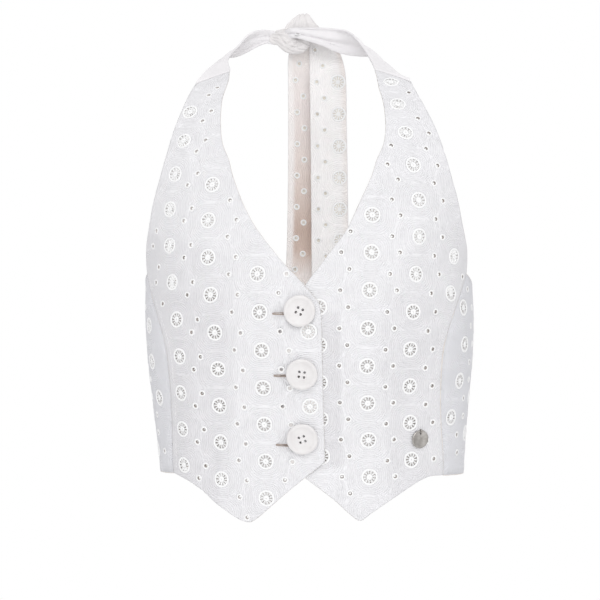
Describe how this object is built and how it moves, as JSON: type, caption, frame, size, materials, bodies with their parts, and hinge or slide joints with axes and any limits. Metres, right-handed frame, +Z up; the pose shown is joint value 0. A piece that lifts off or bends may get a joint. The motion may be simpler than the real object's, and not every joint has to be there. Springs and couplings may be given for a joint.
{
  "type": "waistcoat",
  "caption": "Halter-neck waistcoat in white cutwork cotton with a V-neck, buttoned lapped front, pointed hem, low back and ties knotted at the nape.",
  "frame": {"origin": "the nape, where the neck carries the ties, just in front of the knot", "axes": "+Z up as worn, the front faces -Y, +X towards the wearer's left"},
  "size_m": [0.2881, 0.2276, 0.4531],
  "materials": {
    "cotton": "matt white cotton with satin-stitched eyelets",
    "button": "smooth warm white",
    "metal": "dull grey, plain face"
  },
  "bodies": {
    "root": {"front_right": "cotton", "front_left": "cotton", "back": "cotton", "strap_right": "cotton", "strap_left": "cotton", "knot_wrap": "cotton", "knot_core": "cotton", "tail_right": "cotton", "tail_left": "cotton", "button_top": "button", "button_middle": "button", "button_bottom": "button", "tag": "metal"}
  },
  "joints": []
}
